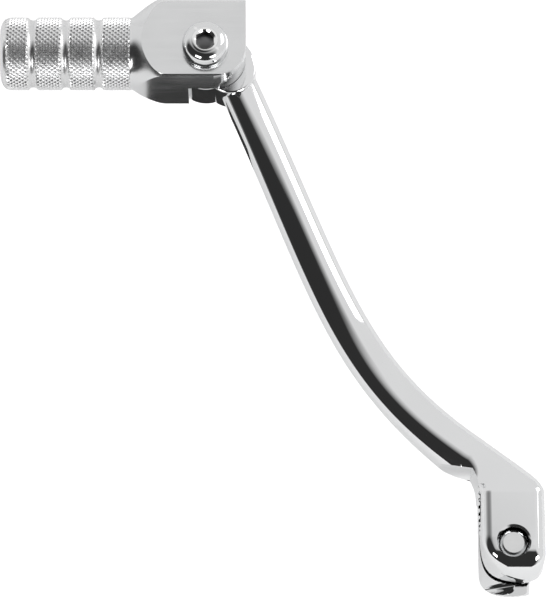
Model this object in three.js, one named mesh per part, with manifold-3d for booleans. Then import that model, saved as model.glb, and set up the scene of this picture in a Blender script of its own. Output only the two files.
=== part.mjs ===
// Gear shift lever with a folding tip: a forged arm whose splined hub clamps on the gear shaft,
// and a knurled toe peg that folds on a screw when it is knocked.
// Millimetres. The origin is the centre of the shaft bore, +X runs along the shaft,
// +Y from the shaft towards the pivot end, and +Z along the pivot screw.
import * as THREE from 'three';
import { mergeVertices } from 'three/addons/utils/BufferGeometryUtils.js';
import Module from 'manifold-3d';

const wasm = await Module();
wasm.setup();

// Whole lever
const PIVOT_X = -67.9;
const PIVOT_Y = 103.6;
const FIT_GAP = 0.3;
const CURVE_SEGMENTS = 16;
const ROUND_SIDES = 48;
const WELD_DISTANCE = 1e-5;
const OVERCUT = 2;

// Hub
const HUB_WIDTH = 14;
const HUB_R = 9.5;
const HUB_EDGE = 1;
const BORE_MINOR_R = 5.9;
const BORE_MAJOR_R = 6.4;
const SPLINE_COUNT = 24;
const CLAMP_REACH = 17.7;
const CLAMP_NOSE_R = 7;
const JAW_NOSE = 3;
const JAW_TOP = 8.835;
const BOLT_SEAT_SINK = 0.3;
const SPLINE_ROOT_END = 0.35;
const SPLINE_CREST_START = 0.5;
const SPLINE_CREST_END = 0.85;
const LOWER_JAW_EXTRA = 2.1;
const LOWER_JAW_RELIEF = 2.6;
const SLIT = 1.5;
const PINCH_Y = -10.4;

// Bar, whose centre line starts beside the pivot
const BAR_WIDTH_AT_EYE = 9;
const BAR_WIDTH_AT_HUB = 10.9;
const BAR_THICK_AT_EYE = 8.2;
const BAR_THICK_AT_HUB = 14;
const BAR_LEAVES_EYE_DEG = 66.2;
const BAR_MEETS_HUB_DEG = 33.4;
const BAR_START = [6.2, -2];
const BAR_END = [-0.5, 4.2];
const BAR_EYE_HANDLE = 0.52;
const BAR_HUB_HANDLE = 0.38;
const BAR_SWELL_POWER = 6;
const BAR_SIDES = 24;
const BAR_STEPS = 36;

// Eye
const EYE_R = 7;
const EYE_THICK = 9.7;
const CHEEK_AHEAD = 1.4;
const CHEEK_BEHIND = 3.6;
const STOP_FLAT = 6.6;
const STOP_REACH = 8.4;

// Folding tip
const GRIP_R = 8.35;
const GRIP_LENGTH = 29.8;
const GRIP_GROOVES = 3;
const GRIP_BAND = 7.5;
const GROOVE_WIDTH = 1.7;
const GROOVE_DEPTH = 0.5;
const GRIP_END_ROUND = 2.4;
const FLARE_LENGTH = 6;
const FLARE_STRAIGHT = 0.75;
const FLARE_SWELL = 0.8;
const FLARE_END = 1.3;
const OUTLINE_POINTS = 4;
const TIP_SIDES = 60;
const BODY_R = 12.3;
const TIP_PAST_PIVOT = 9.1;
const TIP_BEFORE_PIVOT = 46.8;
const PEG_BEHIND_PIVOT = 1.8;
const EAR_THICK = 8.3;
const FRONT_FLAT = 7;
const FOLD_OPENING = 6;
const EAR_CORNER_R = 7.2;
const POCKET_R = 7.7;

// Pivot hardware
const SCREW_R = 3;
const SCREW_HEAD_R = 5.25;
const SCREW_HEAD_HEIGHT = 3.3;
const SOCKET_ACROSS_FLATS = 4;
const SOCKET_DEPTH = 2.2;
const SCREW_END_CHAMFER = 0.6;
const SCREW_HEAD_RIM = 0.6;
const SCREW_DOME = 0.8;
const SCREW_TOP_R = 2.88;
const TURNED_SIDES = 40;
const DOME_POINTS = 6;
const SLEEVE_WALL = 0.9;
const RUNNING_GAP = 0.05;
const SEAT_GAP = 0.1;
const WASHER_R = 5.3;
const WASHER_THICK = 0.8;
const SPRING_WIRE_R = 0.5;
const SPRING_TURNS = 3;
const SPRING_PITCH = 1.1;
const SPRING_LEG = 1.6;
const SPRING_BEND = 0.04;
const SPRING_STEPS = 130;
const SPRING_POINTS_PER_TURN = 16;
const SPRING_WIRE_SEGMENTS = 4;
const LEG_PATH_STEPS = 10;
const LEG_HOLE_SIDES = 12;
const FOLD_DEG = 45;

// Pinch bolt
const BOLT_R = 3;
const BOLT_HEAD_ACROSS_FLATS = 10;
const BOLT_HEAD_HEIGHT = 4;
const BOLT_END_BELOW_TOP = 1.2;
const BOLT_HOLE_CHAMFER = 0.7;
const LOCK_WASHER_THICK = 1.5;
const LOCK_WASHER_R = 5;
const LOCK_WASHER_SLOT = 1;
const LOCK_WASHER_SLANT_DEG = 25;
const BOLT_END_CHAMFER = 0.8;
const BOLT_HEAD_CORNER = 0.1;
const BOLT_HEAD_SLOPE = 1.7;

// Sizes and places that several pieces share
const EYE_TOP = EYE_THICK / 2;
const LAP_Z = EYE_TOP + FIT_GAP;
const EAR_TOP = LAP_Z + EAR_THICK;
const TIP_BOTTOM = -EYE_TOP;
const PEG_Y = PIVOT_Y + PEG_BEHIND_PIVOT;
const PEG_Z = (EAR_TOP + TIP_BOTTOM) / 2;
const GRIP_END_X = PIVOT_X - TIP_BEFORE_PIVOT;
const BODY_END_X = PIVOT_X + TIP_PAST_PIVOT;
const TIP_FRONT_Y = PIVOT_Y - FRONT_FLAT;
const SLEEVE_BORE_R = SCREW_R + FIT_GAP;
const SLEEVE_R = SLEEVE_BORE_R + SLEEVE_WALL;
const SPRING_R = SLEEVE_R + FIT_GAP + SPRING_WIRE_R;
const SPRING_HEIGHT = SPRING_TURNS * SPRING_PITCH + 2 * SPRING_WIRE_R;
const SPRING_MIDDLE_Z = (EYE_TOP + LAP_Z) / 2;
const POCKET_FLOOR_Z = SPRING_MIDDLE_Z - SPRING_HEIGHT / 2 - FIT_GAP;
const POCKET_ROOF_Z = SPRING_MIDDLE_Z + SPRING_HEIGHT / 2 + FIT_GAP;
const SPRING_POCKET_R = SPRING_R + SPRING_WIRE_R + FIT_GAP;
const WASHER_Z = EAR_TOP + SEAT_GAP;
const SCREW_SEAT_Z = WASHER_Z + WASHER_THICK + SEAT_GAP;
const BOLT_SEAT_Z = BOLT_SEAT_SINK - JAW_TOP;

const FORGED_STEEL = { color: 0xd6d8da, roughness: 0.12, metalness: 1 };
const MACHINED_STEEL = { color: 0xd2d3d4, roughness: 0.24, metalness: 1 };
const ZINC_STEEL = { color: 0xc4c6c8, roughness: 0.3, metalness: 1 };
const SPRING_STEEL = { color: 0x8b8d90, roughness: 0.35, metalness: 1 };

// A closed solid for joining and cutting, from any closed three.js geometry.
function solid(geometry) {
  const bare = geometry.clone();
  bare.deleteAttribute('normal');
  bare.deleteAttribute('uv');
  const merged = mergeVertices(bare, WELD_DISTANCE);
  return new wasm.Manifold(new wasm.Mesh({
    numProp: 3,
    vertProperties: new Float32Array(merged.attributes.position.array),
    triVerts: new Uint32Array(merged.index.array),
  }));
}

function geometryOf(body) {
  const mesh = body.getMesh();
  const geometry = new THREE.BufferGeometry();
  geometry.setAttribute('position', new THREE.BufferAttribute(mesh.vertProperties, 3));
  geometry.setIndex(new THREE.BufferAttribute(mesh.triVerts, 1));
  geometry.computeVertexNormals();
  return geometry;
}

// An upright cylinder or cone between two heights.
function upright(x, y, bottom, top, bottomR, topR = bottomR, sides = ROUND_SIDES) {
  const geometry = new THREE.CylinderGeometry(topR, bottomR, top - bottom, sides);
  geometry.rotateX(Math.PI / 2);
  geometry.translate(x, y, (bottom + top) / 2);
  return solid(geometry);
}

function block(low, high) {
  const geometry = new THREE.BoxGeometry(high[0] - low[0], high[1] - low[1], high[2] - low[2]);
  geometry.translate((low[0] + high[0]) / 2, (low[1] + high[1]) / 2, (low[2] + high[2]) / 2);
  return solid(geometry);
}

// A plan outline (X, Y) raised between two heights.
function raised(shape, bottom, top) {
  const options = { depth: top - bottom, bevelEnabled: false, curveSegments: CURVE_SEGMENTS };
  const geometry = new THREE.ExtrudeGeometry(shape, options);
  geometry.translate(0, 0, bottom);
  return solid(geometry);
}

// A side outline (Y, Z) drawn along the shaft's direction, centred on X = 0.
function alongShaft(shape, width, bevel) {
  const geometry = new THREE.ExtrudeGeometry(shape, {
    depth: width - 2 * bevel,
    bevelEnabled: bevel > 0,
    bevelSize: bevel,
    bevelOffset: -bevel,
    bevelThickness: bevel,
    bevelSegments: 3,
    curveSegments: CURVE_SEGMENTS,
  });
  geometry.translate(0, 0, bevel - width / 2);
  geometry.applyMatrix4(new THREE.Matrix4().makeBasis(
    new THREE.Vector3(0, 1, 0), new THREE.Vector3(0, 0, 1), new THREE.Vector3(1, 0, 0)));
  return solid(geometry);
}

// The bar's centre line in plan, from inside the eye to inside the hub.
function barCentreLine() {
  const leave = THREE.MathUtils.degToRad(BAR_LEAVES_EYE_DEG);
  const arrive = THREE.MathUtils.degToRad(BAR_MEETS_HUB_DEG);
  const start = new THREE.Vector3(PIVOT_X + BAR_START[0], PIVOT_Y + BAR_START[1], 0);
  const end = new THREE.Vector3(BAR_END[0], BAR_END[1], 0);
  const span = start.distanceTo(end);
  const startHandle = new THREE.Vector3(Math.cos(leave), -Math.sin(leave), 0)
    .multiplyScalar(span * BAR_EYE_HANDLE);
  const endHandle = new THREE.Vector3(-Math.cos(arrive), Math.sin(arrive), 0)
    .multiplyScalar(span * BAR_HUB_HANDLE);
  return new THREE.CubicBezierCurve3(start, start.clone().add(startHandle), end.clone().add(endHandle), end);
}

// The forged bar: a closed cylinder whose rings are laid along the centre line as rounded sections.
function bar() {
  const line = barCentreLine();
  const geometry = new THREE.CylinderGeometry(1, 1, 1, BAR_SIDES, BAR_STEPS);
  const position = geometry.attributes.position;
  for (let i = 0; i < position.count; i += 1) {
    const along = 0.5 - position.getY(i);
    const centre = line.getPointAt(along);
    const heading = line.getTangentAt(along);
    const sideways = new THREE.Vector3(heading.y, -heading.x, 0);
    const halfWidth = THREE.MathUtils.lerp(BAR_WIDTH_AT_EYE, BAR_WIDTH_AT_HUB, along * along) / 2;
    const swell = along ** BAR_SWELL_POWER;
    const halfThick = THREE.MathUtils.lerp(BAR_THICK_AT_EYE, BAR_THICK_AT_HUB, swell) / 2;
    centre.addScaledVector(sideways, position.getX(i) * halfWidth);
    centre.z = -position.getZ(i) * halfThick;
    position.setXYZ(i, centre.x, centre.y, centre.z);
  }
  return solid(geometry);
}

// The eye's flat cheeks: a disc about the pivot, the bar's flattened root and a square stop behind it.
function eye() {
  const line = barCentreLine();
  const root = line.getPointAt(0);
  const heading = line.getTangentAt(0);
  const half = BAR_WIDTH_AT_EYE / 2;
  const ahead = root.clone().addScaledVector(heading, CHEEK_AHEAD);
  const behind = root.clone().addScaledVector(heading, -CHEEK_BEHIND);
  const sideways = new THREE.Vector3(heading.y, -heading.x, 0).multiplyScalar(half);
  const cheek = new THREE.Shape([
    behind.clone().add(sideways),
    behind.clone().sub(sideways),
    ahead.clone().sub(sideways),
    ahead.clone().add(sideways),
  ]);
  const disc = upright(PIVOT_X, PIVOT_Y, -EYE_TOP, EYE_TOP, EYE_R);
  const end = upright(ahead.x, ahead.y, -EYE_TOP, EYE_TOP, half);
  const stopY = PIVOT_Y + STOP_FLAT;
  const stop = block([PIVOT_X, PIVOT_Y, -EYE_TOP], [PIVOT_X + STOP_REACH, stopY, EYE_TOP]);
  const past = block(
    [PIVOT_X - EYE_R - OVERCUT, stopY, -EYE_TOP - OVERCUT],
    [PIVOT_X + EYE_R + OVERCUT, stopY + EYE_R, EYE_TOP + OVERCUT]);
  return disc.add(raised(cheek, -EYE_TOP, EYE_TOP)).add(end).add(stop).subtract(past);
}

// The hub seen along the shaft: round about the bore, with two clamp jaws in front.
function hubSideOutline() {
  const lowerFront = -CLAMP_REACH - LOWER_JAW_EXTRA;
  const outline = new THREE.Shape();
  outline.absarc(0, 0, HUB_R, -Math.PI / 2, Math.PI / 2, false);
  outline.lineTo(PINCH_Y, JAW_TOP);
  outline.quadraticCurveTo(-CLAMP_REACH + JAW_NOSE / 2, JAW_TOP, -CLAMP_REACH, JAW_NOSE);
  outline.lineTo(-CLAMP_REACH, 0);
  outline.lineTo(lowerFront, -JAW_TOP + JAW_NOSE);
  outline.quadraticCurveTo(lowerFront, -JAW_TOP, lowerFront + JAW_NOSE, -JAW_TOP);
  outline.closePath();
  return outline;
}

// The hub seen from above: the jaws' ends are rounded, and so is the corner that the bar runs past.
function hubPlanOutline() {
  const half = HUB_WIDTH / 2;
  const front = -CLAMP_REACH - LOWER_JAW_EXTRA;
  const outline = new THREE.Shape();
  outline.moveTo(half, BAR_END[1] / 2);
  outline.quadraticCurveTo(half, HUB_R - OVERCUT, half / 2, HUB_R - HUB_EDGE);
  outline.lineTo(-half, HUB_R + OVERCUT);
  outline.lineTo(-half, front + CLAMP_NOSE_R);
  outline.quadraticCurveTo(-half, front, 0, front);
  outline.quadraticCurveTo(half, front, half, front + CLAMP_NOSE_R);
  outline.closePath();
  return outline;
}

function splineOutline() {
  const outline = new THREE.Shape();
  const step = (2 * Math.PI) / SPLINE_COUNT;
  for (let tooth = 0; tooth < SPLINE_COUNT; tooth += 1) {
    const angle = tooth * step;
    const corners = [
      [BORE_MINOR_R, 0],
      [BORE_MINOR_R, SPLINE_ROOT_END],
      [BORE_MAJOR_R, SPLINE_CREST_START],
      [BORE_MAJOR_R, SPLINE_CREST_END],
    ];
    for (const [radius, share] of corners) {
      const y = radius * Math.cos(angle + share * step);
      const z = radius * Math.sin(angle + share * step);
      if (tooth === 0 && share === 0) outline.moveTo(y, z);
      else outline.lineTo(y, z);
    }
  }
  outline.closePath();
  return outline;
}

function hub() {
  const core = alongShaft(hubSideOutline(), HUB_WIDTH, HUB_EDGE);
  const plan = raised(hubPlanOutline(), -HUB_R - OVERCUT, HUB_R + OVERCUT);
  const half = HUB_WIDTH / 2;
  const relief = block(
    [half - LOWER_JAW_RELIEF, -CLAMP_REACH - LOWER_JAW_EXTRA - OVERCUT, -HUB_R - OVERCUT],
    [half + OVERCUT, PINCH_Y + BOLT_R + OVERCUT, -SLIT / 2]);
  return core.intersect(plan).subtract(relief);
}

// The bore, the slit and the pinch bolt's hole with its chamfer above and its flat seat below.
function hubCuts() {
  const bore = alongShaft(splineOutline(), HUB_WIDTH + 2 * OVERCUT, 0);
  const slit = block(
    [-HUB_WIDTH, -CLAMP_REACH - LOWER_JAW_EXTRA - OVERCUT, -SLIT / 2],
    [HUB_WIDTH, -BORE_MINOR_R / 2, SLIT / 2]);
  const holeR = BOLT_R + FIT_GAP;
  const hole = upright(0, PINCH_Y, -HUB_R - OVERCUT, HUB_R + OVERCUT, holeR);
  const chamfer = upright(0, PINCH_Y, JAW_TOP - BOLT_HOLE_CHAMFER, JAW_TOP + OVERCUT, holeR,
    holeR + BOLT_HOLE_CHAMFER + OVERCUT);
  const seat = upright(0, PINCH_Y, -HUB_R - OVERCUT, BOLT_SEAT_Z, LOCK_WASHER_R + 2 * FIT_GAP);
  return bore.add(slit).add(hole).add(chamfer).add(seat);
}

function leverArm() {
  const tapped = upright(PIVOT_X, PIVOT_Y, -EYE_TOP - OVERCUT, EYE_TOP + OVERCUT, SCREW_R + FIT_GAP);
  const springPocket = upright(PIVOT_X, PIVOT_Y, POCKET_FLOOR_Z, EYE_TOP + OVERCUT, SPRING_POCKET_R);
  const legHole = upright(PIVOT_X - SPRING_R, PIVOT_Y, POCKET_FLOOR_Z - SPRING_LEG - FIT_GAP,
    POCKET_FLOOR_Z + OVERCUT, SPRING_WIRE_R + FIT_GAP, SPRING_WIRE_R + FIT_GAP, LEG_HOLE_SIDES);
  return hub().add(bar()).add(eye()).subtract(hubCuts()).subtract(tapped).subtract(springPocket)
    .subtract(legHole);
}

// The tip's turned outline, as radius and place along the peg.
function tipOutline() {
  const gripEnd = GRIP_END_X + GRIP_LENGTH;
  const swell = BODY_R - GRIP_R;
  const outline = new THREE.Path();
  outline.moveTo(0, GRIP_END_X);
  outline.lineTo(GRIP_R - GRIP_END_ROUND, GRIP_END_X);
  outline.quadraticCurveTo(GRIP_R, GRIP_END_X, GRIP_R, GRIP_END_X + GRIP_END_ROUND);
  for (let groove = GRIP_GROOVES; groove > 0; groove -= 1) {
    const middle = gripEnd - groove * GRIP_BAND;
    outline.lineTo(GRIP_R, middle - GROOVE_WIDTH / 2);
    outline.quadraticCurveTo(GRIP_R - 2 * GROOVE_DEPTH, middle, GRIP_R, middle + GROOVE_WIDTH / 2);
  }
  outline.lineTo(GRIP_R, gripEnd);
  outline.lineTo(GRIP_R + swell * FLARE_SWELL, gripEnd + FLARE_LENGTH * FLARE_STRAIGHT);
  outline.quadraticCurveTo(BODY_R, gripEnd + FLARE_LENGTH, BODY_R, gripEnd + FLARE_LENGTH * FLARE_END);
  outline.lineTo(BODY_R, BODY_END_X);
  outline.lineTo(0, BODY_END_X);
  return outline.getPoints(OUTLINE_POINTS);
}

function turnedTip() {
  const geometry = new THREE.LatheGeometry(tipOutline(), TIP_SIDES);
  geometry.rotateZ(-Math.PI / 2);
  geometry.translate(0, PEG_Y, PEG_Z);
  return solid(geometry);
}

// What is milled off the turned bar: two cheeks, the front flat and the ear's outer corner.
function tipFlats() {
  const far = BODY_R + OVERCUT;
  const low = [GRIP_END_X - OVERCUT, PEG_Y - far, PEG_Z - far];
  const high = [BODY_END_X + OVERCUT, PEG_Y + far, PEG_Z + far];
  const above = block([low[0], low[1], EAR_TOP], high);
  const below = block(low, [high[0], high[1], TIP_BOTTOM]);
  const front = block(low, [high[0], TIP_FRONT_Y, high[2]]);
  const cornerX = BODY_END_X - EAR_CORNER_R;
  const cornerY = TIP_FRONT_Y + EAR_CORNER_R;
  const corner = block([cornerX, low[1], low[2]], [high[0], cornerY, high[2]]);
  const kept = upright(cornerX, cornerY, low[2], high[2], EAR_CORNER_R);
  return above.add(below).add(front).add(corner.subtract(kept));
}

// The room under the ear for the arm's eye, open in front so that the tip can fold.
function eyePocket() {
  const bottom = TIP_BOTTOM - OVERCUT;
  const round = upright(PIVOT_X, PIVOT_Y, bottom, LAP_Z, POCKET_R);
  const open = block(
    [PIVOT_X, TIP_FRONT_Y - OVERCUT, bottom],
    [BODY_END_X + OVERCUT, PIVOT_Y + STOP_FLAT + FIT_GAP, LAP_Z]);
  const front = block(
    [PIVOT_X - FOLD_OPENING, TIP_FRONT_Y - OVERCUT, bottom],
    [PIVOT_X + OVERCUT, PIVOT_Y, LAP_Z]);
  return round.add(open).add(front);
}

// The spring's free leg moves along this arc in the ear as the tip folds.
function springLegPath() {
  const r = SPRING_WIRE_R + FIT_GAP;
  let path = null;
  for (let i = 0; i <= LEG_PATH_STEPS; i += 1) {
    const angle = THREE.MathUtils.degToRad(-FOLD_DEG * (i / LEG_PATH_STEPS));
    const x = PIVOT_X + SPRING_R * Math.cos(angle);
    const y = PIVOT_Y + SPRING_R * Math.sin(angle);
    const top = POCKET_ROOF_Z + SPRING_LEG + FIT_GAP;
    const hole = upright(x, y, POCKET_ROOF_Z - OVERCUT, top, r, r, LEG_HOLE_SIDES);
    path = path ? path.add(hole) : hole;
  }
  return path;
}

function foldingTip() {
  const bore = upright(PIVOT_X, PIVOT_Y, LAP_Z - OVERCUT, EAR_TOP + OVERCUT, SLEEVE_R + RUNNING_GAP);
  const springPocket = upright(PIVOT_X, PIVOT_Y, LAP_Z - OVERCUT, POCKET_ROOF_Z, SPRING_POCKET_R);
  return turnedTip().subtract(tipFlats()).subtract(eyePocket()).subtract(bore).subtract(springPocket)
    .subtract(springLegPath());
}

// A hexagonal prism standing upright, with two of its flats facing along X.
function hexagon(x, y, bottom, top, acrossFlats) {
  const cornerR = acrossFlats / Math.sqrt(3);
  return upright(x, y, bottom, top, cornerR, cornerR, 6);
}

// A body turned about an upright axis, from an outline of radius and height.
function turned(outline, x, y) {
  const geometry = new THREE.LatheGeometry(outline, TURNED_SIDES);
  geometry.rotateX(Math.PI / 2);
  geometry.translate(x, y, 0);
  return solid(geometry);
}

function pivotScrew() {
  const foot = -EYE_TOP + FIT_GAP;
  const headTop = SCREW_SEAT_Z + SCREW_HEAD_HEIGHT;
  const outline = new THREE.Path();
  outline.moveTo(0, foot);
  outline.lineTo(SCREW_R - SCREW_END_CHAMFER, foot);
  outline.lineTo(SCREW_R, foot + SCREW_END_CHAMFER);
  outline.lineTo(SCREW_R, SCREW_SEAT_Z);
  outline.lineTo(SCREW_HEAD_R, SCREW_SEAT_Z);
  outline.lineTo(SCREW_HEAD_R, SCREW_SEAT_Z + SCREW_HEAD_RIM);
  outline.quadraticCurveTo(SCREW_HEAD_R - SCREW_HEAD_RIM, SCREW_SEAT_Z + SCREW_HEAD_HEIGHT * SCREW_DOME,
    SCREW_TOP_R, headTop);
  outline.lineTo(0, headTop);
  const socket = hexagon(PIVOT_X, PIVOT_Y, headTop - SOCKET_DEPTH, headTop + OVERCUT, SOCKET_ACROSS_FLATS);
  return turned(outline.getPoints(DOME_POINTS), PIVOT_X, PIVOT_Y).subtract(socket);
}

function ring(x, y, bottom, top, outerR, innerR) {
  const outside = upright(x, y, bottom, top, outerR);
  return outside.subtract(upright(x, y, bottom - OVERCUT, top + OVERCUT, innerR));
}

function pivotSleeve() {
  return ring(PIVOT_X, PIVOT_Y, POCKET_FLOOR_Z + SEAT_GAP, EAR_TOP, SLEEVE_R, SLEEVE_BORE_R);
}

function thrustWasher() {
  return ring(PIVOT_X, PIVOT_Y, WASHER_Z, WASHER_Z + WASHER_THICK, WASHER_R, SLEEVE_BORE_R);
}

// A point on the spring's coil, where turn 0 is its lowest point, on the pivot's -X side.
function springPoint(turn, lift = 0) {
  const angle = Math.PI + turn * 2 * Math.PI;
  const height = SPRING_MIDDLE_Z - SPRING_HEIGHT / 2 + SPRING_WIRE_R + turn * SPRING_PITCH + lift;
  return new THREE.Vector3(
    PIVOT_X + SPRING_R * Math.cos(angle), PIVOT_Y + SPRING_R * Math.sin(angle), height);
}

// The coil runs half a turn past its whole turns, so that its legs stand on opposite sides.
function returnSpring() {
  const last = SPRING_TURNS - 0.5;
  const points = [springPoint(0, -SPRING_WIRE_R - SPRING_LEG), springPoint(0, -SPRING_WIRE_R)];
  const count = Math.round(last * SPRING_POINTS_PER_TURN);
  for (let i = 0; i <= count; i += 1) {
    points.push(springPoint(SPRING_BEND + (last - 2 * SPRING_BEND) * (i / count)));
  }
  const rise = SPRING_HEIGHT / 2 - SPRING_WIRE_R;
  const top = SPRING_MIDDLE_Z + rise;
  const lift = top - springPoint(last).z;
  points.push(springPoint(last, lift + SPRING_WIRE_R), springPoint(last, lift + SPRING_WIRE_R + SPRING_LEG));
  const wire = new THREE.Shape();
  wire.absarc(0, 0, SPRING_WIRE_R, 0, 2 * Math.PI, false);
  return solid(new THREE.ExtrudeGeometry(wire, {
    steps: SPRING_STEPS,
    curveSegments: SPRING_WIRE_SEGMENTS,
    bevelEnabled: false,
    extrudePath: new THREE.CatmullRomCurve3(points),
  }));
}

function pinchBolt() {
  const washerBottom = BOLT_SEAT_Z - SEAT_GAP - LOCK_WASHER_THICK;
  const headTop = washerBottom - SEAT_GAP;
  const end = JAW_TOP - BOLT_END_BELOW_TOP;
  const outline = new THREE.Path();
  outline.moveTo(0, headTop - OVERCUT);
  outline.lineTo(BOLT_R, headTop - OVERCUT);
  outline.lineTo(BOLT_R, end - BOLT_END_CHAMFER);
  outline.lineTo(BOLT_R - BOLT_END_CHAMFER, end);
  outline.lineTo(0, end);
  const shank = turned(outline.getPoints(), 0, PINCH_Y);
  const head = hexagon(0, PINCH_Y, headTop - BOLT_HEAD_HEIGHT, headTop, BOLT_HEAD_ACROSS_FLATS);
  const cornerR = BOLT_HEAD_ACROSS_FLATS / Math.sqrt(3);
  const roundedR = BOLT_HEAD_ACROSS_FLATS / 2 - BOLT_HEAD_CORNER;
  const chamfer = upright(0, PINCH_Y, headTop - BOLT_HEAD_HEIGHT, headTop + OVERCUT, roundedR,
    roundedR + (BOLT_HEAD_HEIGHT + OVERCUT) * BOLT_HEAD_SLOPE);
  return shank.add(head.intersect(chamfer)).intersect(
    upright(0, PINCH_Y, headTop - BOLT_HEAD_HEIGHT, HUB_R, cornerR));
}

// The split of the lock washer is cut at a slant, as in a turn of square wire.
function pinchLockWasher() {
  const top = BOLT_SEAT_Z - SEAT_GAP;
  const body = ring(0, PINCH_Y, top - LOCK_WASHER_THICK, top, LOCK_WASHER_R, BOLT_R + FIT_GAP);
  const cut = new THREE.BoxGeometry(LOCK_WASHER_SLOT, LOCK_WASHER_R, LOCK_WASHER_THICK * 3);
  cut.rotateY(THREE.MathUtils.degToRad(LOCK_WASHER_SLANT_DEG));
  const slotY = PINCH_Y - LOCK_WASHER_R / 2 - LOCK_WASHER_SLOT;
  cut.translate(0, slotY, top - LOCK_WASHER_THICK / 2);
  return body.subtract(solid(cut));
}

function piece(name, body, look) {
  const mesh = new THREE.Mesh(geometryOf(body), new THREE.MeshStandardMaterial(look));
  mesh.name = name;
  return mesh;
}

const lever = new THREE.Group();
lever.add(piece('lever_arm', leverArm(), FORGED_STEEL));
lever.add(piece('folding_tip', foldingTip(), MACHINED_STEEL));
lever.add(piece('pivot_screw', pivotScrew(), ZINC_STEEL));
lever.add(piece('pivot_sleeve', pivotSleeve(), MACHINED_STEEL));
lever.add(piece('thrust_washer', thrustWasher(), ZINC_STEEL));
lever.add(piece('return_spring', returnSpring(), SPRING_STEEL));
lever.add(piece('pinch_bolt', pinchBolt(), ZINC_STEEL));
lever.add(piece('pinch_lock_washer', pinchLockWasher(), ZINC_STEEL));

export default lever;
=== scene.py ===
import math

import bpy
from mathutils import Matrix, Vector


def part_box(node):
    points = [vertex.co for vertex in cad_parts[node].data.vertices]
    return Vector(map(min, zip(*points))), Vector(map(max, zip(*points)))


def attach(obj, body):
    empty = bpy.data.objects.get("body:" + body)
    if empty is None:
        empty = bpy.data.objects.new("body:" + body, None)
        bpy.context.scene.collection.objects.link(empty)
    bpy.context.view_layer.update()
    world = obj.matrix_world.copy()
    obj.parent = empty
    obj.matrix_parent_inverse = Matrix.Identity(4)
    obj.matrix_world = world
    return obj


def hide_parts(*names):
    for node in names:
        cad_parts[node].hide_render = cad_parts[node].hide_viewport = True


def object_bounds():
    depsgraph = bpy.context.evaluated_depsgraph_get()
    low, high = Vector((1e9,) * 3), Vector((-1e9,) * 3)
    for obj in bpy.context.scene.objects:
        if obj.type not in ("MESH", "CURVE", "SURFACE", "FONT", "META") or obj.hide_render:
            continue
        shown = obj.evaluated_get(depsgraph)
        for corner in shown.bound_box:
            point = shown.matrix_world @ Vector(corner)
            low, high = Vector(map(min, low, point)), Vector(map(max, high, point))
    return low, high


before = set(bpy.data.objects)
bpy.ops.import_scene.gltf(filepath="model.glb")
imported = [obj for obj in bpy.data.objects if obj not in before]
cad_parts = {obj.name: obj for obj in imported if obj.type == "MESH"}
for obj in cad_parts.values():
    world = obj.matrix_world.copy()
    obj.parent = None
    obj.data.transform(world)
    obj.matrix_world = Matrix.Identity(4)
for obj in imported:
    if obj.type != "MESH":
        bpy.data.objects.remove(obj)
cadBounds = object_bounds()

mm = 0.001
fullTurn = 2 * math.pi


# small helpers, used by every piece


def clearSelection():
    if bpy.context.object and bpy.context.object.mode != "OBJECT":
        bpy.ops.object.mode_set(mode="OBJECT")
    bpy.ops.object.select_all(action="DESELECT")


def pick(piece):
    clearSelection()
    piece.select_set(True)
    bpy.context.view_layer.objects.active = piece


def startEditing(piece, mode="VERT", selectAll=False):
    pick(piece)
    bpy.ops.object.mode_set(mode="EDIT")
    bpy.ops.mesh.select_mode(type=mode)
    bpy.ops.mesh.select_all(action="SELECT" if selectAll else "DESELECT")


def stopEditing():
    bpy.ops.object.mode_set(mode="OBJECT")


def settlePlace(piece):
    # the object's place goes into its mesh, so that it sits at the origin
    pick(piece)
    bpy.ops.object.transform_apply(location=True, rotation=True, scale=True)


def named(piece, name):
    piece.name = name
    piece.data.name = name
    return piece


def tidyMesh(piece, gap=0.001 * mm):
    startEditing(piece, selectAll=True)
    bpy.ops.mesh.remove_doubles(threshold=gap)
    bpy.ops.mesh.normals_make_consistent(inside=False)
    stopEditing()


def useModifier(piece, kind, **settings):
    pick(piece)
    modifier = piece.modifiers.new(kind.lower(), kind)
    for key, value in settings.items():
        setattr(modifier, key, value)
    bpy.ops.object.modifier_apply(modifier=modifier.name)


def combine(piece, other, operation="DIFFERENCE"):
    useModifier(piece, "BOOLEAN", object=other, operation=operation, solver="MANIFOLD")
    bpy.data.objects.remove(other)


def breakEdges(piece, width, segments=3, angle=32):
    useModifier(piece, "BEVEL", width=width, segments=segments, limit_method="ANGLE",
                angle_limit=math.radians(angle), use_clamp_overlap=True, harden_normals=False,
                miter_outer="MITER_ARC")


def smoothBy(piece, angle=30, flatFaces=False):
    pick(piece)
    bpy.ops.object.shade_smooth_by_angle(angle=math.radians(angle))
    if not flatFaces:
        useModifier(piece, "WEIGHTED_NORMAL", mode="FACE_AREA", weight=100, keep_sharp=True)
        return
    # milled faces with many corners stay flat, so that no shading runs across them
    for face in piece.data.polygons:
        if len(face.vertices) > 6 or face.area > 3 * mm * mm and len(face.vertices) > 4:
            face.use_smooth = False


def startPoint(place, name):
    # a plane merged to one point, ready to be extruded into an outline
    clearSelection()
    bpy.ops.mesh.primitive_plane_add(size=1 * mm, location=(0, 0, 0))
    piece = named(bpy.context.object, name)
    startEditing(piece, selectAll=True)
    bpy.ops.mesh.merge(type="CENTER")
    bpy.ops.transform.translate(value=place)
    return piece


def drawOutline(points, name):
    # the outline's points are extruded one after another, and stay selected at the end
    piece = startPoint(points[0], name)
    for before, after in zip(points, points[1:]):
        bpy.ops.mesh.extrude_region_move(
            TRANSFORM_OT_translate={"value": Vector(after) - Vector(before)})
    return piece


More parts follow.
